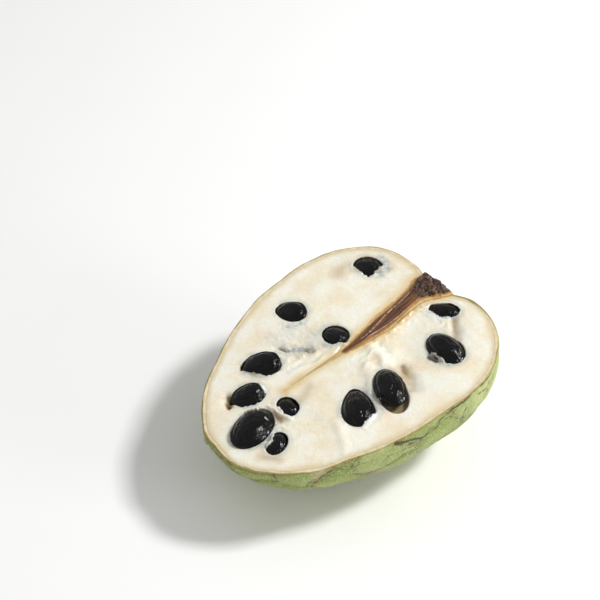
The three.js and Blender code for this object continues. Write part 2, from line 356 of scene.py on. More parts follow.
# %% Rays of the rind and where they meet the skin
RIND_THICKNESS = 1.5
SEAM_ROOM = 0.5  # more thickness, for the dips between the scales
RIM_WOBBLE = 0.9
CRACK_WOBBLE = 0.8
EDGE_ROUNDING = 0.35
RIM_SINK = 0.08  # of the rind's inner edge, below the cut
OLIVE_EDGES = [
    # x, y, reach: where the cut skin shows an olive edge
    (58, -15, 6),
    (-52, -17, 9),
]
RIND_TURNS = 560
EDGE_DIPS = [1.3, 0.75, 0.35, 0.12, 0]
FINE_BELOW = 35  # degrees under the cut, where the rows draw closer together
SKIN_ROWS = (62, 90)
INSIDE_ROWS = 10
RIM_ROWS = 3


def floor_distance(way):
    """Distance to the surface that the half rests on, along unit directions."""
    climb = way[..., 0] * math.sin(STEM_UP) + way[..., 2] * math.cos(STEM_UP)
    return FACE_HEIGHT / np.maximum(-climb, 1e-3)


def skin_points(way, dip):
    """Skin points with the scales' relief, and the values that its material needs."""
    smooth_skin = way * body_radius(way)[..., None]
    wobble = np.stack([noise(smooth_skin, 9, seed) for seed in (11, 12, 13)], -1)
    wobble += 0.6 * np.stack([noise(smooth_skin, 2.4, seed, 2) for seed in (16, 17, 18)], -1)
    to_rim, owner, facing = scale_map((smooth_skin + RIM_WOBBLE * wobble).reshape(-1, 3))
    shape = way.shape[:-1]
    to_rim, owner, facing = (array.reshape(shape) for array in (to_rim, owner, facing))
    to_crack, crack_side, crack_half = crack_map(smooth_skin + CRACK_WOBBLE * wobble)
    to_groove = np.minimum(to_rim, to_crack)
    near_cut = smooth(dip / math.radians(7))[:, None]
    pad = SCALE_RISE * np.clip(1 - to_groove / SCALE_SHOULDER, 0, 1) ** 2 * (0.3 + 0.7 * near_cut)
    grain = 0.16 * noise(smooth_skin, 6, 14, 2) + 0.05 * noise(smooth_skin, 1.2, 15, 2) - 0.12
    rounding = EDGE_ROUNDING * (1 - smooth(dip / math.radians(0.8)))[:, None] ** 2
    radius = body_radius(way) - pad + np.minimum(grain, 0) - rounding
    radius = np.minimum(radius, floor_distance(way))
    return way * radius[..., None], to_rim, owner, facing, crack_side, crack_half


turns = np.linspace(0, 2 * math.pi, RIND_TURNS, endpoint=False)
dips = np.radians(np.concatenate([
    np.linspace(90, FINE_BELOW, SKIN_ROWS[0])[1:],
    np.linspace(FINE_BELOW, EDGE_DIPS[0], SKIN_ROWS[1])[1:],
    EDGE_DIPS[1:],
]))
skin, to_rim, owner, facing, crack_side, crack_half = skin_points(bowl_ways(turns, dips), dips)
print("skin points:", skin[..., 0].size, "scales met:", len(set(owner.reshape(-1).tolist())))


# %% Rind mesh
def inner_radius(way):
    """Distance to the rind's inside."""
    outside = np.minimum(body_radius(way), floor_distance(way) + SEAM_ROOM)
    return outside - RIND_THICKNESS - SEAM_ROOM


inside_ways = bowl_ways(turns, np.linspace(0, math.pi / 2, INSIDE_ROWS + 1)[:-1])
inside = inside_ways * inner_radius(inside_ways)[..., None]
inside[0, :, 2] = -RIM_SINK
rim_shares = np.linspace(0, 1, RIM_ROWS + 2)[1:-1, None, None]
rim = skin[-1] + (inside[0] - skin[-1]) * rim_shares
rows = np.concatenate([skin, rim, inside])
nadir = bowl_ways([0], [math.pi / 2])
bottom_out = (nadir * np.minimum(body_radius(nadir), floor_distance(nadir))[..., None]).reshape(1, 3)
bottom_in = (nadir * inner_radius(nadir)[..., None]).reshape(1, 3)
rind_points = np.concatenate([rows.reshape(-1, 3), bottom_out, bottom_in])
faces = capped_faces(len(rows), RIND_TURNS)


def rind_value(on_skin, elsewhere):
    """One number per rind point: the skin's own values, and a constant off the skin."""
    rest = np.full(len(rind_points) - on_skin.size, float(elsewhere))
    return np.concatenate([on_skin.reshape(-1), rest])


scale_shade = np.array([draw(i, 7) for i in range(SCALE_COUNT)] + [0.5])
cut_share = np.concatenate([
    np.zeros(skin.shape[0] * RIND_TURNS),
    np.repeat(np.linspace(0, 1, RIM_ROWS + 2)[1:], RIND_TURNS),
    np.ones((INSIDE_ROWS - 1) * RIND_TURNS + 2),
])
olive_edge = sum(
    np.exp(-0.5 * ((rind_points[:, 0] - x) ** 2 + (rind_points[:, 1] - y) ** 2) / reach**2)
    for x, y, reach in OLIVE_EDGES
)
rind = make_piece("rind_skin", rind_points, faces, ["rind"], {
    "to_rim": rind_value(to_rim, 3),
    "facing": rind_value(facing, 0),
    "crack_side": rind_value(np.clip(crack_side, -3, 3), 3),
    "crack_half": rind_value(crack_half, NO_CRACK),
    "olive_edge": olive_edge,
    "scale_shade": rind_value(scale_shade[owner], 0.5),
    "below_cut": rind_value(-skin[..., 2], 0),
    "cut_share": cut_share,
})

# %% [markdown]
# ## The seeds
#
# A custard-apple seed is a flattened bean about 15 mm long, black and glossy, with a keel round
# its edge and fine creases along its faces. Each one is written down once, as a row of sizes and
# angles, because both the seed and its pocket in the pulp are made from that row.

# %% Seed sizes and places
SEEDS = {
    # middle, (length, width, thickness), (heading, tilt, roll), taper, slack of the pocket
    "seed_01": ((42.0, 27.2, -1.6), (14, 11.4, 7.0), (101, 0, 0), 0.0, 0.5),
    "seed_02": ((4.8, 30.2, -1.0), (14, 10.6, 7.0), (121, -12, -14), 0.05, 0.3),
    "seed_03": ((9.6, 9.0, -1.6), (13, 10, 6.4), (95, -12, 0), 0.08, 0.0),
    "seed_04": ((-20.5, 16.1, -1.0), (16.6, 12.6, 8.0), (150, -15, -16), 0.0, 0.6),
    "seed_05": ((-33.0, 7.6, -1.2), (14.2, 11.6, 7.4), (165, -16, -12), -0.05, 0.0),
    "seed_06": ((-25.5, -6.5, -1.8), (11.4, 8.8, 6.9), (84, -3, -3), 0.0, 0.0),
    "seed_07": ((-41.0, -5.8, 0.0), (19.8, 14.0, 8.8), (17, -3, 3), 0.0, 0.0),
    "seed_08": ((-38.9, -17.2, -1.4), (11.2, 8.4, 6.6), (32, -2, 0), 0.0, 0.0),
    "seed_09": ((-7.5, -24.6, -0.6), (18.4, 11.9, 8.0), (60, -3, -3), 0.26, 0.0),
    "seed_10": ((6.7, -26.3, 0.4), (18.6, 11.8, 8.3), (67, 0, 5), 0.06, -3.4),
    "seed_11": ((34.4, -25.8, -0.6), (17.8, 11.8, 8.2), (88, 0, 4), 0.0, 0.0),
    "seed_12": ((47.1, -10.8, -2.2), (15.8, 9.5, 6.8), (122, 0, 0), 0.0, 0.0),
}


def seed_axes(angles):
    """Columns: the seed's long, wide and thick axes in the fruit's frame."""
    heading, tilt, roll = np.radians(angles)
    turn = np.array([[math.cos(heading), -math.sin(heading), 0],
                     [math.sin(heading), math.cos(heading), 0],
                     [0, 0, 1]])
    lift = np.array([[math.cos(tilt), 0, -math.sin(tilt)],
                     [0, 1, 0],
                     [math.sin(tilt), 0, math.cos(tilt)]])
    spin = np.array([[1, 0, 0],
                     [0, math.cos(roll), -math.sin(roll)],
                     [0, math.sin(roll), math.cos(roll)]])
    return turn @ lift @ spin


print("longest seed, mm:", max(size[0] for _, size, *_ in SEEDS.values()))

# %% [markdown]
# Pulp still clings over part of some seeds, as a flap with a ragged edge. The flaps are outlines
# in the cut face. Under a flap a seed is pressed in a little, so that the flap can lie low.

# %% Flaps of pulp
FLAPS = {
    # outline of each flap in the cut face
    "seed_01": [[(38.9, 34), (38.3, 30.5), (38, 28.4), (37.9, 25.9), (38.1, 24.6), (38.6, 23.2),
                 (40.1, 22.5), (41.8, 23.1), (44.4, 23.5), (46.5, 24.2), (47.5, 25.8), (50, 22),
                 (46, 17), (32, 17), (32, 34)]],
    "seed_03": [[(4.4, 9.8), (5.2, 6.5), (6.3, 4.9), (7.9, 3.8), (9.7, 3), (9.7, 0.5), (1.5, 0.5),
                 (1.5, 9.8)]],
    "seed_04": [[(-28.5, 20.5), (-26.7, 19.6), (-25.8, 17.1), (-24, 13.4), (-22, 11.1),
                 (-20.2, 9.6), (-17.9, 9.2), (-15, 8.8), (-15, 4), (-31, 4), (-31, 20.5)]],
    "seed_05": [[(-43, 9), (-41.1, 8.2), (-38.9, 6.2), (-35.8, 3.7), (-33.4, 2.6), (-30.8, 2.3),
                 (-28.2, 3.1), (-26.5, 4.6), (-25, 4), (-25, -3), (-44, -3)],
                [(-24.5, 11.5), (-26.8, 9.2), (-27.4, 7.4), (-28, 5.8), (-28.2, 3.6), (-22, 3.6)]],
    "seed_06": [[(-29.5, -1.5), (-28.3, -3.2), (-28, -5.3), (-28.1, -7.1), (-28.3, -8.9),
                 (-27.4, -10), (-27.3, -12), (-33, -12), (-33, -1.5)]],
    "seed_07": [[(-40.5, 3), (-38.9, -0.2), (-38.2, 0.4), (-37.2, -0.6), (-36.6, -1.4),
                 (-35.8, -0.9), (-35, -1.6), (-33.5, 1)],
                [(-36.4, -7.4), (-36.1, -6.4), (-35.2, -7.6), (-35.6, -8.6)]],
    "seed_08": [[(-45, -15.7), (-41.3, -16.7), (-39.7, -16.8), (-38.5, -15.3), (-36.4, -12.8),
                 (-37, -9), (-45, -9)]],
    "seed_09": [[(-2.4, -29.5), (-4, -31.2), (-6.4, -32), (-10.4, -32.6), (-12.9, -32.6),
                 (-12.5, -37), (-1, -37), (-1, -29.5)]],
    "seed_10": [[(0.2, -26.5), (0.6, -28.7), (-0.6, -32), (-4, -32), (-4, -26.5)]],
    "seed_11": [[(29.4, -19), (29.2, -19.7), (28.9, -22.6), (29.2, -24.5), (29.6, -26.5),
                 (29.5, -28.5), (29.8, -31), (30.8, -33.6), (27, -35), (25, -35), (25, -19)]],
    "seed_12": [[(41.5, -5.4), (42.7, -5.7), (45.1, -6), (46.6, -7.3), (49.2, -9.3),
                 (51.8, -11.2), (53.2, -13.6), (56, -12), (50, -2), (42, -2)],
                [(42.6, -5.5), (43.2, -8.7), (43.4, -10.9), (44.2, -12.7), (45.9, -14.3),
                 (46.7, -15.4), (48.3, -16.4), (49.7, -15.9), (52, -15.2), (52.5, -17), (51, -21),
                 (40, -21), (40, -5.5)]],
}
FLAP_SLOPE = 1.8


def fold_distance(points, x, y):
    """Distance from a broken line, which counts as longer past its two ends."""
    nearest = np.full_like(x, np.inf)
    for (x0, y0), (x1, y1) in zip(points, points[1:]):
        run = np.array([x1 - x0, y1 - y0])
        t = np.clip(((x - x0) * run[0] + (y - y0) * run[1]) / (run @ run), 0, 1)
        nearest = np.minimum(nearest, np.hypot(x - x0 - t * run[0], y - y0 - t * run[1]))
    return nearest


def flap_depth(name, x, y):
    """How far points of the face lie inside a seed's flaps, in mm, negative outside them."""
    deepest = np.full_like(x, -50.0)
    for outline in FLAPS.get(name, []):
        ring = outline + outline[:1]
        inside = np.zeros(x.shape, bool)
        for (x0, y0), (x1, y1) in zip(ring, ring[1:]):
            if y0 != y1:
                crossing = x0 + (y - y0) * (x1 - x0) / (y1 - y0)
                inside ^= ((y0 > y) != (y1 > y)) & (x < crossing)
        distance = fold_distance(ring, x, y)
        deepest = np.maximum(deepest, np.where(inside, distance, -distance))
    return deepest


def flap_height(name, x, y):
    """How much of a seed's height above the face is left under its flaps, from 1 to 0."""
    return np.exp(-((np.maximum(flap_depth(name, x, y), 0) / FLAP_SLOPE) ** 2))


print("seeds partly covered:", len(FLAPS))

# %% [markdown]
# The seed itself starts as a ball of rays. Some taper towards one end, a keel stands up round
# the edge with a shallow furrow on each side, and noise stretched along the length draws the
# creases. A sculpted mesh would also do, but a formula gives twelve seeds that differ.

# %% Seed meshes
SEED_TURNS = 96
SEED_RINGS = 60
KEEL_RISE = 0.3
FURROW_DEPTH = 0.28
CREASE_DEPTH = 0.17
PRESS_DOWN = 0.9  # how far below the face a flap presses a seed
PRESS_REACH = 3  # and how far down that is felt


def seed_points(size, taper, number):
    """Points of one seed in its own axes, ring by ring from the tapered end, and its creases."""
    length, width, thickness = size
    down, round_it = np.meshgrid(
        np.linspace(0, math.pi, SEED_RINGS + 1),
        np.linspace(0, 2 * math.pi, SEED_TURNS, endpoint=False),
        indexing="ij",
    )
    u, v, w = np.cos(down), np.sin(down) * np.cos(round_it), np.sin(down) * np.sin(round_it)
    narrow = 1 - taper * u
    ball = np.stack([u, v, w], -1)
    long_ball = ball * [length / 2, width / 2, thickness / 2]
    creases = np.clip(1 - 2.4 * np.abs(noise(long_ball * [0.3, 1, 1], 1.6, 40 + number, 2)), 0, 1)
    dents = noise(long_ball, 4.0, 60 + number, 2)
    side = np.hypot(u, v)
    keel = KEEL_RISE * np.exp(-(((np.abs(w) - 0.1) / 0.13) ** 2))
    furrow = FURROW_DEPTH * np.exp(-(((np.abs(w) - 0.42) / 0.13) ** 2)) * side
    rise = keel - furrow - CREASE_DEPTH * creases**2 * (1 - side**6) + 0.2 * dents - 0.35
    shape = np.stack([
        u * length / 2,
        v * narrow * width / 2,
        w * (0.82 + 0.18 * w * w) * (0.5 + 0.5 * narrow) * thickness / 2,
    ], -1)
    return shape + ball * rise[..., None], creases


seeds = []
for number, (name, (middle, size, angles, taper, slack)) in enumerate(SEEDS.items()):
    local, creases = seed_points(size, taper, number)
    placed = local.reshape(-1, 3) @ seed_axes(angles).T + middle
    pressed = 1 - flap_height(name, placed[:, 0], placed[:, 1])
    felt = smooth((placed[:, 2] + PRESS_REACH) / PRESS_REACH)
    placed[:, 2] -= pressed * (np.maximum(placed[:, 2], 0) + PRESS_DOWN) * felt
    tips = {0: 0, SEED_RINGS: SEED_RINGS * SEED_TURNS}
    quads = []
    for face in grid_faces(SEED_RINGS + 1, SEED_TURNS, True)[:, ::-1].tolist():
        corners = [tips.get(corner // SEED_TURNS, corner) for corner in face]
        quads.append(list(dict.fromkeys(corners)))
    used = sorted({corner for face in quads for corner in face})
    place = {corner: k for k, corner in enumerate(used)}
    quads = [[place[corner] for corner in face] for face in quads]
    seeds.append(make_piece(
        name + "_coat", placed[used], quads, [name],
        {"crease": creases.reshape(-1)[used]},
    ))

# %% [markdown]
# ## The core's outline
#
# The core is a wedge of fibres: wide at the stem, where it was torn from its stalk, and narrowing
# to a thread near the middle. Its sections are given at a few stations along x.

# %% Core sections
CORE_X = [-22, -16, -8, 2, 10, 18, 27, 38, 45, 50, 54.5]
CORE_MIDDLE = [0.0, 0.2, 0.3, -0.1, -0.6, -0.4, 0.4, 1.6, 2.3, 1.7, 0.4]
CORE_HALF = [0.15, 0.2, 0.3, 0.8, 1.6, 2.9, 4.1, 4.0, 4.9, 7.1, 8.3]
CORE_DEPTH = [0.5, 0.8, 1.3, 2.1, 2.9, 4.1, 5.1, 5.5, 6.1, 7.1, 7.3]
CORE_CROWN = [0.05, 0.08, 0.1, 0.15, 0.2, 0.25, 0.3, 0.5, 1.0, 2.1, 2.4]
CORE_TIP = 1.4


def core_section(x):
    """Middle, half width, depth and crown of the core at x."""
    return [through(x, CORE_X, row) for row in (CORE_MIDDLE, CORE_HALF, CORE_DEPTH, CORE_CROWN)]


print("core is", CORE_X[-1] - CORE_X[0] + CORE_TIP, "mm long")

# %% [markdown]
# ## The pulp
#
# The pulp fills the rind, so its sides are never seen, and all the care goes into the cut face. A
# square grid is bent onto the face's outline, which keeps its cells even, and every point gets a
# height: gentle swells left by the soft flesh, folds and hollows where seeds and fibres pulled at
# it, and rough patches where it tore. The rest of the solid is a bowl of a few rings.

# %% Grid of the cut face
FACE_CELLS = 290
SIDE_RINGS = 8
SIDE_GAP = 0.03  # between the pulp and the rind, below the cut
EDGE_OVERLAP = 0.05  # of the cut face over the rind's inner edge


def disc_grid(cells):
    """Turn and share of the radius for a square grid of points bent onto a disc."""
    a, b = np.meshgrid(np.linspace(-1, 1, cells + 1), np.linspace(-1, 1, cells + 1), indexing="ij")
    wide = np.abs(a) > np.abs(b)
    share = np.where(wide, a, b)
    small = np.where(wide, b, a) / np.where(np.abs(share) > 1e-12, share, 1)
    turn = np.where(wide, math.pi / 4 * small, math.pi / 2 - math.pi / 4 * small)
    turn = np.where(share < 0, turn + math.pi, turn)
    return turn % (2 * math.pi), np.abs(share)


turn, share = disc_grid(FACE_CELLS)
face_way = np.stack([np.cos(turn), np.sin(turn), 0 * turn], -1)
outline = inner_radius(face_way) + EDGE_OVERLAP
face_x, face_y = (outline * share * face_way[..., k] for k in (0, 1))
to_edge = outline * (1 - share)
print("cell of the cut face, mm:", round(float(2 * outline.mean() / FACE_CELLS), 2))

# %% Swells, folds and torn patches
SWELLS = [
    # x, y, rise, spread along x, spread along y
    (-3.5, 13, -1.4, 6, 3.4),
    (23, -20, -1.2, 6, 6),
    (42.6, -20, -0.6, 3.4, 3.6),
    (32, -9, -0.6, 4, 2.5),
    (14, -15, 0.7, 5, 4),
    (-18, -24, 0.4, 2.5, 9),
]
FOLDS = [
    # rise, half width, points along the fold
    (-0.85, 1.15, [(-10, 19.6), (-8.2, 16.6), (-5.6, 12.9), (-1.5, 9.6)]),
    (-0.7, 0.4, [(-9.6, 18.8), (-7.6, 15.4)]),
    (0.7, 0.45, [(-8.6, 15), (-6.6, 12.4), (-5.2, 12), (-3.4, 10.2)]),
    (0.5, 0.8, [(-10.8, 17.4), (-8.6, 13.4), (-5, 9.8)]),
    (-0.8, 1.9, [(16.8, -21), (15.4, -26.5), (13, -32)]),
    (0.5, 1.2, [(14.6, -17.8), (13.2, -23), (11.5, -28)]),
    (-0.8, 1.3, [(46.2, -17), (44.2, -20), (41, -24.6)]),
    (0.2, 0.9, [(43.6, -16.4), (42.4, -18.6)]),
    (-1.5, 0.7, [(27.9, -25.2), (27.9, -26.9)]),
    (-0.3, 1.2, [(27.8, -28), (29.5, -32)]),
    (0.4, 1.3, [(-16.8, -24.5), (-18.5, -28.7), (-22.1, -34.8), (-27.4, -41.5)]),
    (0.7, 1.3, [(15, -4.8), (14.7, -9.8), (13.4, -15.7)]),
    (-0.4, 1.2, [(18.2, -7), (17.8, -12), (17, -17)]),
    (0.8, 1.4, [(8.4, -11.4), (4.6, -17.7), (1.4, -21.3)]),
    (-0.6, 0.35, [(7.3, 1.9), (5.4, 1.8), (2.8, 1.2)]),
    (-1.1, 1.0, [(-31.4, -6.8), (-31.8, -10)]),
    (0.7, 0.5, [(-30.7, -1.6), (-29.8, -4.4), (-30.2, -7)]),
    (0.5, 0.6, [(-29.6, -8.4), (-28.8, -11.4)]),
    (-0.5, 1.4, [(48.8, 27.1), (46.7, 21.4)]),
    (-2.1, 1.1, [(-38, 12.8), (-39.8, 10.6), (-40.6, 8.8)]),
    (-0.8, 0.5, [(-25.6, 21.5), (-27.2, 19.9)]),
    (-0.4, 0.8, [(1, 4.4), (-5, 5.4), (-12, 8.2)]),
    (0.3, 0.7, [(-1, 2.6), (-8, 3.8), (-14, 6)]),
    (0.5, 0.35, [(25.4, -5.2), (27.2, -4.9), (28.8, -5.2)]),
    (0.5, 0.35, [(30.8, -4.6), (32.4, -4.2), (34.4, -4.3)]),
    (0.5, 0.35, [(36.1, -3.9), (37.9, -3.3)]),
    (0.6, 0.4, [(40, -4.2), (42.5, -4.9), (44.6, -5.2)]),
    (0.5, 0.3, [(41, -5.8), (42.6, -7.4)]),
]
GLASSY_AND_SHADE = [
    # strength, half width, points: where the flesh is bluish and clear, and where grey is painted as
    # shade beside seeds and in hollows
    (1.0, 1.5, [(-8.4, 16.6), (-5.6, 12.9), (-2.2, 10.2)]),
    (0.7, 1.6, [(48.4, 27.5), (46.4, 21.8), (43, 20.6)]),
    (0.35, 1.8, [(42.6, -9), (41.6, -14), (40.2, -18)]),
    (0.6, 1.1, [(28, -25), (27.9, -27.2)]),
    (0.35, 1.6, [(27.4, -28), (29, -32)]),
    (0.5, 1.6, [(3.8, 6.6), (6, 3.6)]),
    (0.5, 1.5, [(-0.2, -21), (0.6, -27), (-1, -32)]),
    (0.4, 1.8, [(-34.6, -12.6), (-40, -15.6)]),
    (0.5, 1.2, [(-1, 26), (0.4, 23.4), (4, 22)]),
    (0.4, 1.6, [(-14, 14), (-16, 18), (-20, 21)]),
    (0.28, 4.0, [(-8, 22), (0, 18), (6, 14)]),
]
BROWNING_AND_SHADE = [
    # strength, half width, points: where brown is painted along folds and hollows as shade, and where the
    # flesh has browned in the air
    (0.55, 0.8, [(-10.6, 21), (-9, 18)]),
    (0.35, 0.8, [(-2.6, 10.3), (-0.6, 8.6)]),
    (0.75, 1.9, [(16.8, -21.5), (15.2, -26.5), (12.8, -32)]),
    (0.6, 1.4, [(46.2, -17), (44.2, -20), (41, -24.6)]),
    (0.9, 1.1, [(-31.2, -6.4), (-31.4, -10.6)]),
    (0.5, 1.1, [(-14.2, 0.4), (-18, 0.2), (-21.4, -0.8)]),
    (0.6, 0.6, [(7.3, 1.9), (5.4, 1.8), (2.8, 1.2)]),
    (1.3, 1.2, [(-38, 12.8), (-39.8, 10.6), (-40.6, 8.8)]),
    (0.6, 0.5, [(-25.6, 21.5), (-27.2, 19.9)]),
    (0.55, 0.7, [(27.9, -25.2), (27.9, -26.9)]),
    (0.4, 2.2, [(31, 33), (37, 35), (44, 33)]),
    (0.45, 1.4, [(-47, -18), (-43.6, -23.6)]),
    (0.35, 1.5, [(-14, -5), (-20, -8)]),
]
TORN = [
    # x, y, height of the tears, spread along x, spread along y
    (-6, 11, 0.35, 7, 3.5),
    (12, -10, 0.3, 7, 4),
    (30, -5.4, 0.3, 10, 1.4),
    (-30, -4, 0.35, 2.4, 6),
    (-35, -13, 0.25, 3, 3),
    (43, -11, 0.3, 3, 5),
    (8, 4, 0.2, 5, 1.6),
    (15, -24, 0.2, 3, 5),
]
BEAD_RISE = 0.3
KNIFE_RISE = 0.05
SCRATCH_RISE = 0.03
WAVE_RISE = 0.12


def patches(rows, x, y):
    """Sum of soft round patches, each with its own height and spread."""
    total = np.zeros_like(x)
    for cx, cy, height, spread_x, spread_y in rows:
        total += height * np.exp(-0.5 * (((x - cx) / spread_x) ** 2 + ((y - cy) / spread_y) ** 2))
    return total


def along_lines(rows, x, y):
    """Sum of soft bands along broken lines, each with its own height and half width."""
    warped = [x + 0.6 * noise(flat(x, y), 4, 26, 2), y + 0.6 * noise(flat(x, y), 4, 27, 2)]
    total = np.zeros_like(x)
    for height, half_width, points in rows:
        total += height * np.exp(-0.5 * (fold_distance(points, *warped) / half_width) ** 2)
    return total


spots = flat(face_x, face_y)
folds = along_lines(FOLDS, face_x, face_y)
beads = BEAD_RISE * along_lines(GLASSY_AND_SHADE, face_x, face_y) * noise(spots, 1.2, 25, 2)
torn = patches(TORN, face_x, face_y)
tears = np.clip(1 - 2.2 * np.abs(noise(spots, 3.4, 21, 2)), -0.5, 0.8)
knife = KNIFE_RISE * noise(spots, 6, 22, 2)
knife += SCRATCH_RISE * noise(flat(face_x, face_y, (2.5, 1)), 1.2, 23)
level = patches(SWELLS, face_x, face_y) + folds + torn * tears + beads + knife
level += WAVE_RISE * noise(spots, 14, 24)
level *= smooth(to_edge / 6) * 0.9 + 0.1 * smooth(to_edge / 1.5)
print("cut face rises and falls by", round(float(np.ptp(level)), 1), "mm")

# %% [markdown]
# A pocket is more than a dent: it closes in over the seed's widest part. So inside a seed's
# outline the points leave their places and wrap round under the seed, from the brim where the
# face meets it to the lowest point. Under a flap they rise to the seed's top instead.

# %% Pockets wrapped round the seeds
LIP_DROP = 0.15
LIP_WIDTH = 0.9
DENT_DEPTH = 2.4
DENT_SHOULDER = 0.16
FLAP_THICKNESS = 0.1
FLAP_SKIRT = 0.15  # beyond the seed, where the flap runs out, as a share of its radius
POCKET_REACH = 1.7  # how far out a pocket moves the face, as a share of the seed's radius
ragged = 0.22 * noise(spots, 1.3, 71, 2)


def pocket_frame(middle, size, angles, slack=0.0):
    """A pocket's middle, and the matrix that shrinks it to a ball of radius 1. With slack it is
    longer than its seed, at the tapered end or, if negative, at the other end."""
    axes = seed_axes(angles)
    room = np.array(size) / 2 + [abs(slack) / 2, 0, 0]
    return middle + axes[:, 0] * slack / 2, axes / room


def tapered(ball, taper, power):
    """Narrows a ball towards one end as the seed narrows, or undoes that with a power of -1."""
    narrow = (1 - taper * np.clip(ball[..., :1], -1.5, 1.5)) ** power
    return ball * np.concatenate([np.ones_like(narrow), narrow, narrow], -1)


face = np.stack([face_x, face_y, level], -1)
to_seed = np.full_like(face_x, 60.0)
flesh_lip = np.zeros_like(face_x)
dent = np.zeros_like(face_x)
for number, (name, (middle, size, angles, taper, slack)) in enumerate(SEEDS.items()):
    if slack:
        heart, shrink = pocket_frame(middle, size, angles, slack)
        room = 1 - np.linalg.norm(tapered((face - heart) @ shrink, taper, -1), axis=-1)
        dent = np.maximum(dent, smooth(room / DENT_SHOULDER))
    heart, shrink = pocket_frame(middle, size, angles)
    ball = tapered((face - heart) @ shrink, taper, -1)
    reach = np.maximum(np.linalg.norm(ball, axis=-1), 1e-6)
    pull = np.linalg.norm(ball @ shrink.T[:, :2], axis=-1) / reach
    outside = (reach - 1) / np.maximum(pull, 1e-3)
    covered = smooth((flap_depth(name, face_x, face_y) + ragged) / 0.5)
    drop = LIP_DROP * (1 - covered) * (1 + 0.6 * noise(spots, 3.5, 80 + number))
    flesh_lip += drop * np.exp(-np.maximum(outside, 0) / LIP_WIDTH)
    to_seed = np.minimum(to_seed, outside)
face[..., 2] -= np.maximum(flesh_lip, DENT_DEPTH * dent)


def wrap_pocket(face, in_pocket, name, heart, shrink, taper):
    """Moves the points inside one seed's outline round under it, and lays flaps over it."""
    grow = np.linalg.inv(shrink)
    up = shrink[2] / np.linalg.norm(shrink[2])
    ball = tapered((face - heart) @ shrink, taper, -1)
    lift = ball @ up
    level_part = ball - lift[..., None] * up
    radius = np.linalg.norm(level_part, axis=-1)
    brim = np.sqrt(np.clip(1 - lift**2, 0, 1))
    near = radius < POCKET_REACH
    edge_way = level_part / np.maximum(radius, 1e-6)[..., None]
    covered = smooth((flap_depth(name, face_x, face_y) + ragged) / 0.35) * near
    dome = np.sqrt(np.clip(1 - radius**2, 0, 1)) + FLAP_THICKNESS
    past = np.clip(radius - 1, 0, None)
    skirt = lift + FLAP_THICKNESS * np.exp(-past / FLAP_SKIRT)
    blanket = np.maximum(lift, np.where(radius < 1, dome, skirt))
    over = level_part + (lift + (blanket - lift) * covered)[..., None] * up
    inside = (radius < brim) & (np.abs(lift) < 1) & (covered < 0.5)
    brim_turn = np.where(lift >= 0, np.arcsin(brim), math.pi - np.arcsin(brim))
    wrapped_turn = math.pi - radius / np.maximum(brim, 1e-6) * (math.pi - brim_turn)
    under = edge_way * np.sin(wrapped_turn)[..., None] + np.cos(wrapped_turn)[..., None] * up
    placed = tapered(np.where(inside[..., None], under, over), taper, 1) @ grow + heart
    rise = np.maximum(placed[..., 2] - face[..., 2], 0) * covered
    placed[..., 2] -= rise * (1 - flap_height(name, face_x, face_y))
    return np.where(near[..., None], placed, face), in_pocket | (near & inside)


in_pocket = np.zeros(face_x.shape, bool)
for name, (middle, size, angles, taper, slack) in SEEDS.items():
    heart, shrink = pocket_frame(middle, size, angles)
    face, in_pocket = wrap_pocket(face, in_pocket, name, heart, shrink, taper)
print("deepest pocket, mm:", round(float(face[..., 2].min()), 1))

# %% Bed of the core
core_y, core_half, core_depth = core_section(face_x)[:3]
off_core = np.abs(face_y - core_y) - core_half
past_end = np.maximum(CORE_X[0] - face_x, 0)
to_core = np.where(past_end > 0, np.hypot(past_end, np.maximum(off_core, 0)), off_core)
bed = -core_depth * np.sqrt(np.clip(1 - ((face_y - core_y) / core_half) ** 2, 0, 1)) - 0.3
in_bed = smooth((-0.1 - to_core) / 0.5)
height = face[..., 2]
face[..., 2] = height * (1 - in_bed) + np.minimum(bed, height) * in_bed
print("core bed is up to", round(float(-bed.min()), 1), "mm deep")

# %% Pulp mesh
face[share > 1 - 1e-9, 2] = 0
size = FACE_CELLS + 1
index = np.arange(size * size).reshape(size, size)
border = np.concatenate([index[:-1, 0], index[-1, :-1], index[:0:-1, -1], index[0, :0:-1]])
border_turn = turn.reshape(-1)[border]
side_ways = bowl_ways(border_turn, np.linspace(0, math.pi / 2, SIDE_RINGS + 1)[1:-1])
side = side_ways * (inner_radius(side_ways)[..., None] - SIDE_GAP)
lowest = nadir.reshape(1, 3) * (inner_radius(nadir).reshape(1, 1) - SIDE_GAP)
pulp_points = np.concatenate([face.reshape(-1, 3), side.reshape(-1, 3), lowest])
quads = grid_faces(size, size, False).tolist()
rings = [border] + [size * size + r * len(border) + np.arange(len(border)) for r in range(SIDE_RINGS - 1)]
for upper, lower in zip(rings, rings[1:]):
    for k in range(len(border)):
        after = (k + 1) % len(border)
        quads.append([upper[k], lower[k], lower[after], upper[after]])
for k in range(len(border)):
    quads.append([rings[-1][k], len(pulp_points) - 1, rings[-1][(k + 1) % len(border)]])


def pulp_value(on_face, elsewhere):
    """One number per pulp point: the cut face's own values, and a constant below it."""
    rest = np.full(len(pulp_points) - on_face.size, float(elsewhere))
    return np.concatenate([np.clip(on_face, -20, 60).reshape(-1), rest])


pulp = make_piece("pulp", pulp_points, quads, ["flesh"], {
    "to_edge": pulp_value(to_edge, 0),
    "to_seed": pulp_value(to_seed, 20),
    "to_core": pulp_value(to_core + 0.9 * (1 - smooth((face_x - 2) / 12)), 20),
    "hollow": pulp_value(np.clip(-level, 0, 3), 0),
    # the pocket walls and the gaps at some seeds' ends, which the material darkens as painted shade
    "in_pocket": pulp_value(np.maximum(in_pocket, 0.95 * dent), 0),
    "glassy_and_shade": pulp_value(along_lines(GLASSY_AND_SHADE, face_x, face_y), 0),
    "browning_and_shade": pulp_value(along_lines(BROWNING_AND_SHADE, face_x, face_y), 0),
}, border.tolist())

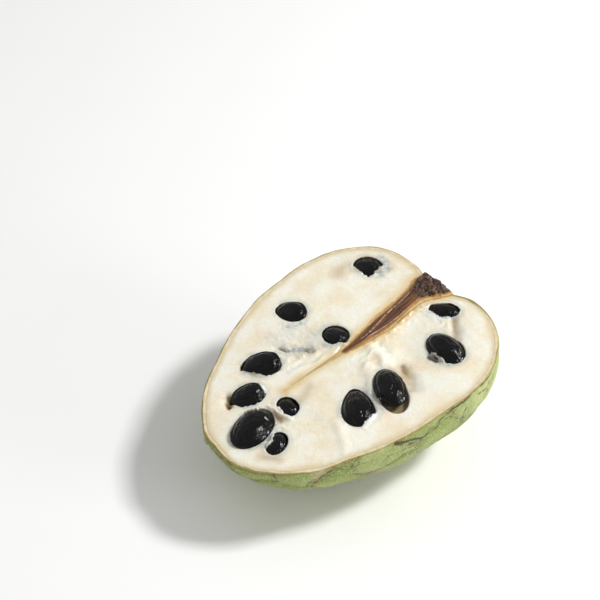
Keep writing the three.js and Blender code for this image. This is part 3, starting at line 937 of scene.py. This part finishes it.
# %% [markdown]
# ## The core
#
# A ring of points sweeps along the core's stations. Its upper side carries fibres: noise that is
# many times longer along x than across, and two raised pale bundles. Towards the stem the fibres
# break up into a dry crust, so the noise there grows rounder and deeper. Only the middle of the
# core is dark, and a second row of stations says how far the dark part reaches on each side.

# %% Core mesh
CORE_ROWS = 300
CORE_TURNS = 160
DARK_X = [4, 10, 17, 22, 27, 33, 39, 45, 49, 54]
DARK_UP = [-0.1, 0.6, 2.0, 2.9, 3.5, 4.0, 5.1, 6, 7.2, 8.4]
DARK_LOW = [-0.8, -1.6, -1.9, -2.5, -2.5, -1.8, -0.6, -0.9, -3.8, -6.4]
BUNDLES = [
    # y of a pale bundle at each x
    ([14, 19, 29, 41, 46], [-0.4, 0.1, 2.3, 4.2, 5.0]),
    ([16, 25, 32, 38, 45], [-1.1, -1.7, -1.5, -0.7, -0.2]),
]
BUNDLE_WIDTH = 0.22
BUNDLE_RISE = 0.25
FIBRE_RISE = 0.2
CRUST_RISE = 0.6
DRY_FROM = 42  # x where the fibres start to break up, and the length that it takes
DRY_OVER = 8
core_x = np.linspace(CORE_X[0], CORE_X[-1], CORE_ROWS)
middle, half, depth, crown = core_section(core_x)
ring = np.linspace(0, 2 * math.pi, CORE_TURNS, endpoint=False)
around, along = np.meshgrid(ring, core_x)
upper = np.sin(around) > 0
y = middle[:, None] + half[:, None] * np.cos(around)
z = np.sin(around) * np.where(upper, crown[:, None], depth[:, None])
dry = smooth((along - DRY_FROM) / DRY_OVER)
lane = flat(along, np.cos(around) * 4, (16, 1))
fibres = noise(lane, 0.8, 31, 2)
place = np.stack([along, y, z], -1)
crust = noise(place, 1.7, 32, 3)
pale = np.zeros_like(along)
for xs, ys in BUNDLES:
    off_bundle = y - through(along, xs, ys) + 0.15 * noise(place, 3, 34)
    shown = smooth((along - xs[0]) / 3) * (1 - smooth((along - 43) / 3))
    pale += np.exp(-((off_bundle / BUNDLE_WIDTH) ** 2)) * shown
fade = np.clip(half[:, None] / 3, 0, 1) * upper
z = z + fade * (FIBRE_RISE * fibres * (1 - dry) + CRUST_RISE * crust * dry + BUNDLE_RISE * pale)
core_grid = np.stack([along + 0.5 * crust * dry * smooth((along - 50) / 4), y, z], -1)
tip_rings = []
for share_left in np.linspace(1, 0, 6)[1:-1]:
    last = core_grid[-1]
    centre = np.array([CORE_X[-1], middle[-1], -1])
    ring_points = centre + (last - centre) * math.sqrt(share_left)
    ring_points[:, 0] += CORE_TIP * (1 - share_left) * 0.9
    ring_points[:, 0] += 0.4 * noise(ring_points, 2.0, 33, 2)
    tip_rings.append(ring_points)
core_grid = np.concatenate([core_grid, np.array(tip_rings)])
ends = np.array([[CORE_X[0] - 0.3, middle[0], 0], [CORE_X[-1] + CORE_TIP, middle[-1], -1]])
core_points = np.concatenate([core_grid.reshape(-1, 3), ends])
faces = capped_faces(len(core_grid), CORE_TURNS)
here_x = np.clip(core_points[:, 0], CORE_X[0], CORE_X[-1])
here_middle, here_half = core_section(here_x)[:2]
into_dark = np.minimum(
    through(here_x, DARK_X, DARK_UP) - core_points[:, 1],
    core_points[:, 1] - through(here_x, DARK_X, DARK_LOW),
)
core = make_piece("core_fibre", core_points, faces, ["core"], {
    "across": (core_points[:, 1] - here_middle) / here_half,
    "along": core_points[:, 0],
    "into_dark": into_dark - 3 * (1 - smooth((core_points[:, 0] - 3) / 4)),
    "pale_bundle": np.concatenate([pale.reshape(-1), np.zeros(4 * CORE_TURNS + 2)]),
})

# %% [markdown]
# ## Materials
#
# One function adds a node with its settings and wires, and one turns the hex code of a colour
# into the linear numbers that a shader works with. Each material is then a list of nodes.

# %% Tools for materials
def paint(code):
    """Linear RGBA of an sRGB hex colour."""
    parts = [int(code[k:k + 2], 16) / 255 for k in (1, 3, 5)]
    return [c / 12.92 if c <= 0.04045 else ((c + 0.055) / 1.055) ** 2.4 for c in parts] + [1]


def node(tree, kind, wires=None, **settings):
    """Adds a shader node with its settings. A wire is a node, whose first output it takes, a
    socket or a plain value, and it goes to the input of that name or number."""
    made = tree.nodes.new("ShaderNode" + kind)
    for key, value in settings.items():
        setattr(made, key, value)
    for key, value in (wires or {}).items():
        by_name = [s for s in made.inputs if s.name == key and s.enabled]
        socket = by_name[0] if by_name else made.inputs[key]
        if isinstance(value, bpy.types.Node):
            value = next(s for s in value.outputs if s.enabled)
        if isinstance(value, bpy.types.NodeSocket):
            tree.links.new(value, socket)
        else:
            socket.default_value = value
    return made


def new_tree(name):
    """An empty node material."""
    material = bpy.data.materials.new(name)
    material.use_nodes = True
    material.node_tree.nodes.clear()
    return material, material.node_tree


print("mid grey in linear light:", round(paint("#808080")[0], 3))

# %% [markdown]
# ### Rind: waxy plant skin
#
# The skin is sage green with a fine pale speckle of lenticels. Scale rims are brown and corky,
# strongest where a scale's edge points to the apex, and the cut shows a thin tan and brown rim.
# Wax gives a soft satin gloss, so roughness stays near one half.

# %% Rind: patterns
SOFT = {"interpolation_type": "SMOOTHSTEP"}
RGBA = {"data_type": "RGBA"}
MULTIPLY, ADD, SUBTRACT = ({"operation": name} for name in ("MULTIPLY", "ADD", "SUBTRACT"))
rind_finish, tree = new_tree("waxy_green_rind")
spot = node(tree, "TexCoord").outputs["Object"]
broad, ragged, patchy, pale_dots, dark_dots = (
    node(tree, "TexNoise", {"Vector": spot, "Scale": 1000 / lump, "Detail": detail, "Distortion": twist})
    for lump, detail, twist in [
        # size of a lump in mm, detail, distortion
        (16, 3.0, 0.0),
        (2.2, 4.0, 0.0),
        (8, 3.0, 0.0),
        (0.7, 1.0, 0.0),
        (0.6, 2.0, 1.0),
    ]
)
value = {
    key: node(tree, "Attribute", attribute_name=key)
    for key in (
        "to_rim", "facing", "scale_shade", "cut_share", "below_cut", "crack_side", "crack_half",
        "olive_edge",
    )
}

# %% Rind: green ground with speckle
colour = node(tree, "Mix", {
    "Factor": node(tree, "MapRange", {"Value": broad, "From Min": 0.3, "From Max": 0.7}, **SOFT),
    "A": paint("#78883A"), "B": paint("#939E52"),
}, **RGBA)
lighter = node(tree, "Math", {0: value["scale_shade"], 1: 0.45}, **MULTIPLY)
share_pale, share_dark = (
    node(tree, "MapRange", {"Value": dots, "From Min": low, "From Max": high, "To Max": most}, **SOFT)
    for dots, low, high, most in [(pale_dots, 0.5, 0.68, 0.5), (dark_dots, 0.55, 0.72, 0.6)]
)
for share_of, code in [(lighter, "#B7C080"), (share_pale, "#C7CF9A"), (share_dark, "#74803F")]:
    colour = node(tree, "Mix", {"Factor": share_of, "A": colour, "B": paint(code)}, **RGBA)

# %% Rind: brown scale rims, cracks and stains
bite = node(tree, "Math", {0: ragged, 1: 2.4}, **MULTIPLY)
gap = node(tree, "Math", {0: value["to_rim"], 1: bite}, **SUBTRACT)
crack = node(tree, "Math", {0: value["crack_side"]}, operation="ABSOLUTE")
crack = node(tree, "Math", {0: crack, 1: value["crack_half"]}, **SUBTRACT)
bite = node(tree, "Math", {0: ragged, 1: 0.8}, **MULTIPLY)
crack = node(tree, "Math", {0: crack, 1: bite}, **SUBTRACT)
line, apex_side, strength, halo, speckled, crack, stain = (
    node(tree, "MapRange", {
        "Value": source, "From Min": start, "From Max": end, "To Min": least, "To Max": most,
    }, **SOFT)
    for source, start, end, least, most in [
        # source, where the share starts and ends, its least and its most
        (gap, -0.65, -1.2, 0.0, 1.0),
        (value["facing"], -0.6, 0.6, 0.25, 1.0),
        (patchy, 0.35, 0.6, 0.4, 1.0),
        (gap, 1.8, -0.6, 0.0, 1.0),
        (dark_dots, 0.45, 0.6, 0.0, 0.9),
        (crack, -0.2, -0.5, 0.0, 0.9),
        (patchy, 0.58, 0.74, 0.0, 0.5),
    ]
)
line = node(tree, "Math", {0: line, 1: apex_side}, **MULTIPLY)
line = node(tree, "Math", {0: line, 1: strength}, **MULTIPLY)
halo = node(tree, "Math", {0: halo, 1: strength}, **MULTIPLY)
halo = node(tree, "Math", {0: halo, 1: speckled}, **MULTIPLY)
for share_of, code in [(line, "#3B2B17"), (halo, "#6E5C2E"), (crack, "#3B2B17"), (stain, "#8A7A4A")]:
    colour = node(tree, "Mix", {"Factor": share_of, "A": colour, "B": paint(code)}, **RGBA)

# %% Rind: the cut rim
near_cut = node(tree, "MapRange", {
    "Value": value["below_cut"], "From Min": 0.6, "From Max": 0.0, "To Max": 0.6,
}, **SOFT)
on_cut = node(tree, "MapRange", {"Value": value["cut_share"], "From Min": 0.0, "From Max": 0.2}, **SOFT)
still_green = node(tree, "Math", {0: on_cut, 1: value["olive_edge"]}, **MULTIPLY)
on_cut = node(tree, "Math", {0: on_cut, 1: still_green}, **SUBTRACT)
cut_flesh = node(tree, "Mix", {
    "Factor": node(tree, "MapRange", {"Value": ragged, "From Min": 0.4, "From Max": 0.6}, **SOFT),
    "A": paint("#EBDDBA"), "B": paint("#E0CBA0"),
}, **RGBA)
bite = node(tree, "Math", {0: patchy, 1: 0.9}, **MULTIPLY)
olive_part = node(tree, "Math", {0: value["olive_edge"], 1: 0.5}, **MULTIPLY)
bite = node(tree, "Math", {0: bite, 1: olive_part}, **SUBTRACT)
tan = node(tree, "Math", {0: value["cut_share"], 1: bite}, **ADD)
tan = node(tree, "MapRange", {"Value": tan, "From Min": 0.5, "From Max": 0.9}, **SOFT)
for share_of, over in [(near_cut, paint("#86743C")), (on_cut, paint("#AD9058")), (tan, cut_flesh)]:
    colour = node(tree, "Mix", {"Factor": share_of, "A": colour, "B": over}, **RGBA)

# %% Rind: bump and shader
relief = node(tree, "Math", {0: pale_dots, 1: ragged}, **ADD)
bump = node(tree, "Bump", {"Strength": 0.5, "Distance": 0.0004, "Height": relief})
shader = node(tree, "BsdfPrincipled", {
    "Base Color": colour,
    "Roughness": node(tree, "MapRange", {"Value": pale_dots, "To Min": 0.42, "To Max": 0.62}),
    "Normal": bump,
    "Specular IOR Level": 0.4,
    "Subsurface Weight": 0.08,
    "Subsurface Radius": (0.6, 1.0, 0.3),
    "Subsurface Scale": 0.001,
})
node(tree, "OutputMaterial", {"Surface": shader})
rind.data.materials.append(rind_finish)
print("rind nodes:", len(tree.nodes))

# %% [markdown]
# ### Pulp: moist ivory flesh
#
# Ripe flesh is soft, wet and translucent, so light scatters a few millimetres into it. It is
# ivory, warmer towards the rind, bluish grey and glassy round the seeds, and browned by air along
# the core. Shade is painted into the colour too, brown and grey in the pockets, folds and hollows,
# and so are small white highlights on the wet edges by the seeds. The film of juice is a thin clear coat.

# %% Pulp: patterns
pulp_finish, tree = new_tree("moist_ivory_pulp")
spot = node(tree, "TexCoord").outputs["Object"]
broad, cells, fine = (
    node(tree, "TexNoise", {"Vector": spot, "Scale": 1000 / lump, "Detail": detail})
    for lump, detail in [(10, 3.0), (2.2, 3.0), (0.5, 2.0)]
)
value = {
    key: node(tree, "Attribute", attribute_name=key)
    for key in ("to_seed", "to_core", "to_edge", "hollow", "in_pocket", "glassy_and_shade", "browning_and_shade")
}

# %% Pulp: where each tint shows
bite = node(tree, "Math", {0: cells, 1: 2.0}, **MULTIPLY)
core_gap = node(tree, "Math", {0: value["to_core"], 1: bite}, **SUBTRACT)
bite = node(tree, "Math", {0: broad, 1: 3.0}, **MULTIPLY)
edge_gap = node(tree, "Math", {0: value["to_edge"], 1: bite}, **SUBTRACT)
share_of = {
    name: node(tree, "MapRange", {
        "Value": source, "From Min": start, "From Max": end, "To Min": least, "To Max": most,
    }, **SOFT)
    for name, source, start, end, least, most in [
        # name, source, where the share starts and ends, its least and its most
        ("cream", broad, 0.38, 0.66, 0.0, 1.0),
        ("milky", cells, 0.5, 0.75, 0.0, 0.4),
        ("grains", fine, 0.35, 0.6, 0.35, 0.0),
        ("halo", value["to_seed"], 3.0, 0.2, 0.0, 1.0),
        ("uneven", broad, 0.35, 0.65, 0.1, 0.8),
        # painted highlight: near-white patches on the wet edges beside the seeds
        ("lip highlight", value["to_seed"], 0.9, 0.2, 0.0, 1.0),
        ("highlight cells", cells, 0.48, 0.6, 0.0, 1.0),
        ("shaded", value["hollow"], 0.6, 2.4, 0.0, 0.5),
        ("deepest", value["hollow"], 0.9, 1.7, 0.0, 1.0),
        ("clear cells", cells, 0.3, 0.6, 0.35, 1.0),
        ("glints", fine, 0.56, 0.64, 0.0, 1.0),
        ("brown parts", broad, 0.3, 0.6, 0.4, 1.0),
        ("stained", core_gap, 4.0, -0.8, 0.0, 0.85),
        ("browned", core_gap, 0.0, -1.0, 0.0, 0.9),
        ("tanned", edge_gap, 1.4, -1.6, 0.0, 0.8),
    ]
}
halo, lip_highlight, clear, brown = (
    node(tree, "Math", {0: one, 1: other}, **MULTIPLY)
    for one, other in [
        (share_of["halo"], share_of["uneven"]),
        (share_of["lip highlight"], share_of["highlight cells"]),
        (value["glassy_and_shade"], share_of["clear cells"]),
        (value["browning_and_shade"], share_of["brown parts"]),
    ]
)
glints = node(tree, "Math", {0: share_of["glints"], 1: clear}, **MULTIPLY)
# painted shade: the darkest brown goes into the deepest hollows along the brown lines
deepest = node(tree, "Math", {0: share_of["deepest"], 1: brown}, **MULTIPLY)

# %% Pulp: tints laid over the ivory ground, the first one undermost
colour = paint("#F9F6E9")
for factor, code in [
    (share_of["cream"], "#F4E8CF"),
    (share_of["milky"], "#FAF8EC"),
    (share_of["grains"], "#E6DABA"),
    (halo, "#C6C8BE"),
    # painted highlight on the wet edges beside the seeds
    (lip_highlight, "#FAFAF6"),
    # painted shade: brown on the pocket walls and in the gaps beside the seeds
    (value["in_pocket"], "#93825A"),
    (share_of["shaded"], "#C9BFA4"),
    # bluish grey: clear flesh, and painted shade beside seeds and in hollows
    (clear, "#9DA6A7"),
    (glints, "#F6F8F6"),
    # brown along folds and hollows: painted shade, and flesh browned in the air
    (brown, "#AE9160"),
    # painted shade in the deepest hollows
    (deepest, "#5E4E34"),
    (share_of["stained"], "#E6CB93"),
    (share_of["browned"], "#C48E50"),
    (share_of["tanned"], "#E4D0A6"),
]:
    colour = node(tree, "Mix", {"Factor": factor, "A": colour, "B": paint(code)}, **RGBA)

# %% Pulp: bump and shader
fine_part = node(tree, "Math", {0: fine, 1: 0.35}, **MULTIPLY)
relief = node(tree, "Math", {0: cells, 1: fine_part}, **ADD)
bump = node(tree, "Bump", {"Strength": 0.45, "Distance": 0.0005, "Height": relief})
shader = node(tree, "BsdfPrincipled", {
    "Base Color": colour,
    "Roughness": node(tree, "MapRange", {
        "Value": cells, "From Min": 0.35, "From Max": 0.65, "To Min": 0.3, "To Max": 0.5,
    }, **SOFT),
    "Normal": bump,
    "IOR": 1.38,
    "Subsurface Weight": 0.6,
    "Subsurface Radius": (1.0, 0.75, 0.5),
    "Subsurface Scale": 0.002,
    "Coat Weight": 0.35,
    "Coat Roughness": 0.1,
})
node(tree, "OutputMaterial", {"Surface": shader})
pulp.data.materials.append(pulp_finish)
print("pulp nodes:", len(tree.nodes))

# %% [markdown]
# ### Core: dry plant fibre
#
# The core's bundles of fibre have browned in the air: dark and light strands side by side, orange
# tan where they meet the pulp, and dark and crumbly at the torn stem end. It is dry, so it is rough.
# The strands follow the core's own sides, so their noise runs on two point values of the mesh,
# the place along the core and the place across it, instead of on plain coordinates.

# %% Core material: strands and crust
core_finish, tree = new_tree("browned_core_fibre")
spot = node(tree, "TexCoord").outputs["Object"]
value = {
    key: node(tree, "Attribute", attribute_name=key).outputs["Fac"]
    for key in ("along", "across", "pale_bundle", "into_dark")
}
lane = node(tree, "CombineXYZ", {
    "X": node(tree, "Math", {0: value["along"], 1: 0.05}, **MULTIPLY),
    "Y": node(tree, "Math", {0: value["across"], 1: 4.0}, **MULTIPLY),
})
strands, bundles, crumbs, specks = (
    node(tree, "TexNoise", {"Vector": vector, "Scale": scale, "Detail": detail})
    for vector, scale, detail in [
        (lane, 2.6, 4.0), (lane, 1.0, 2.0), (spot, 1000 / 0.9, 4.0), (spot, 1000 / 0.7, 1.0),
    ]
)
bite = node(tree, "Math", {0: crumbs, 1: 1.4}, **MULTIPLY)
inside = node(tree, "Math", {0: value["into_dark"], 1: bite}, **SUBTRACT)
bite = node(tree, "Math", {0: crumbs, 1: 8.0}, **MULTIPLY)
dry_end = node(tree, "Math", {0: value["along"], 1: bite}, **ADD)
share_of = {
    name: node(tree, "MapRange", {
        "Value": source, "From Min": start, "From Max": end, "To Max": most,
    }, **SOFT)
    for name, source, start, end, most in [
        # name, source, where the share starts and ends, and its most
        ("light strands", strands, 0.4, 0.6, 1.0),
        ("darker", bundles, 0.42, 0.6, 0.7),
        ("broken", crumbs, 0.35, 0.6, 1.0),
        ("light crumbs", crumbs, 0.42, 0.62, 1.0),
        ("specks", specks, 0.6, 0.7, 0.5),
        ("dry end", dry_end, 46.0, 51.0, 1.0),
        ("border", inside, 0.0, -0.9, 1.0),
        ("far border", inside, -0.9, -1.9, 1.0),
        ("tan strands", strands, 0.5, 0.65, 0.5),
    ]
}
pale = node(tree, "Math", {0: value["pale_bundle"], 1: share_of["broken"]}, **MULTIPLY)

# %% Core material: the dark fibres, the crumbly end and the tan sides
fibre, crumble, tan = (paint(code) for code in ("#3C2214", "#2E2018", "#B07C42"))
for factor, code in [
    (share_of["light strands"], "#835731"),
    (share_of["darker"], "#593321"),
    (pale, "#D8BFA4"),
]:
    fibre = node(tree, "Mix", {"Factor": factor, "A": fibre, "B": paint(code)}, **RGBA)
for name, code in [("light crumbs", "#6C503F"), ("specks", "#B59C8A")]:
    crumble = node(tree, "Mix", {"Factor": share_of[name], "A": crumble, "B": paint(code)}, **RGBA)
for name, code in [("far border", "#E0C48D"), ("tan strands", "#8A5A30")]:
    tan = node(tree, "Mix", {"Factor": share_of[name], "A": tan, "B": paint(code)}, **RGBA)
colour = node(tree, "Mix", {"Factor": share_of["dry end"], "A": fibre, "B": crumble}, **RGBA)
colour = node(tree, "Mix", {"Factor": share_of["border"], "A": colour, "B": tan}, **RGBA)

# %% Core material: bump and shader
relief = node(tree, "Math", {0: strands, 1: crumbs}, **ADD)
bump = node(tree, "Bump", {"Strength": 0.8, "Distance": 0.0005, "Height": relief})
shader = node(tree, "BsdfPrincipled", {
    "Base Color": colour,
    "Roughness": node(tree, "MapRange", {"Value": strands, "To Min": 0.35, "To Max": 0.65}),
    "Normal": bump,
    "Specular IOR Level": 0.35,
})
node(tree, "OutputMaterial", {"Surface": shader})
core.data.materials.append(core_finish)
print("core nodes:", len(tree.nodes))

# %% [markdown]
# ### Seeds: a hard glossy coat
#
# The seed coat is nearly black with a hint of brown, hard and polished, wet where it left the
# pulp. Its creases are sunk a little by the bump.

# %% Seed material
seed_finish, tree = new_tree("polished_black_seed_coat")
spot = node(tree, "TexCoord").outputs["Object"]
tint = node(tree, "TexNoise", {"Vector": spot, "Scale": 1000 / 2.5, "Detail": 2.0})
pores = node(tree, "TexNoise", {"Vector": spot, "Scale": 1000 / 0.75, "Detail": 3.0})
colour = node(tree, "Mix", {
    "Factor": node(tree, "MapRange", {"Value": tint, "From Min": 0.4, "From Max": 0.7}, **SOFT),
    "A": paint("#030303"), "B": paint("#080606"),
}, **RGBA)
sunk = node(tree, "Math", {0: node(tree, "Attribute", attribute_name="crease"), 1: -0.6}, **MULTIPLY)
relief = node(tree, "Math", {0: pores, 1: sunk}, **ADD)
bump = node(tree, "Bump", {"Strength": 1.0, "Distance": 0.00014, "Height": relief})
shader = node(tree, "BsdfPrincipled", {
    "Base Color": colour,
    "Roughness": node(tree, "MapRange", {
        "Value": tint, "From Min": 0.35, "From Max": 0.65, "To Min": 0.06, "To Max": 0.12,
    }, **SOFT),
    "Normal": bump,
    "Specular IOR Level": 0.27,
})
node(tree, "OutputMaterial", {"Surface": shader})
for seed in seeds:
    seed.data.materials.append(seed_finish)
print("seed nodes:", len(tree.nodes))

# %% [markdown]
# ## Floor and light
#
# A wide pale floor and soft lights, as in a product studio: a small key light high on the right,
# a second light low at the front right, a broad faint fill from the left, and an even surround.

# %% Floor
FLOOR_REACH = 3.0
corners = [(-1, -1), (1, -1), (1, 1), (-1, 1)]
floor_mesh = bpy.data.meshes.new("floor")
floor_points = [(FLOOR_REACH * x, FLOOR_REACH * y, 0) for x, y in corners]
floor_mesh.from_pydata(floor_points, [], [(0, 1, 2, 3)])
floor = bpy.data.objects.new("floor", floor_mesh)
bpy.context.scene.collection.objects.link(floor)
floor_finish, tree = new_tree("pale_paper_floor")
spot = node(tree, "TexCoord").outputs["Object"]
broad = node(tree, "TexNoise", {"Vector": spot, "Scale": 25.0, "Detail": 2.0})
colour = node(tree, "Mix", {"Factor": broad, "A": paint("#F9F9F8"), "B": paint("#FBFBFA")}, **RGBA)
shader = node(tree, "BsdfPrincipled", {
    "Base Color": colour, "Roughness": 0.9, "Specular IOR Level": 0.1,
})
node(tree, "OutputMaterial", {"Surface": shader})
floor.data.materials.append(floor_finish)
print("floor side, m:", 2 * FLOOR_REACH)


# %% Lights
LIGHT_AIM = np.array([0, 0, 0.03])
SURROUND_STRENGTH = 0.45


def softbox(name, place, size, watts):
    """A square area light that faces the fruit."""
    light = bpy.data.lights.new(name, "AREA")
    light.size = size
    light.energy = watts
    lamp = bpy.data.objects.new(name, light)
    lamp.location = place
    away = np.array(place) - LIGHT_AIM
    lamp.rotation_euler = (
        math.atan2(math.hypot(away[0], away[1]), away[2]), 0, math.atan2(away[0], -away[1]),
    )
    bpy.context.scene.collection.objects.link(lamp)


softbox("key_light", (0.68, -0.45, 0.95), 0.2, 11.4)
softbox("front_light", (0.58, -1.04, 0.3), 0.5, 4.7)
softbox("fill_light", (-0.5, 0.7, 1.2), 1.2, 0.8)
world = bpy.data.worlds.new("studio")
world.use_nodes = True
surround = world.node_tree.nodes["Background"]
surround.inputs["Color"].default_value = paint("#FFFFFF")
surround.inputs["Strength"].default_value = SURROUND_STRENGTH
bpy.context.scene.world = world
bpy.context.scene.view_settings.view_transform = "Standard"
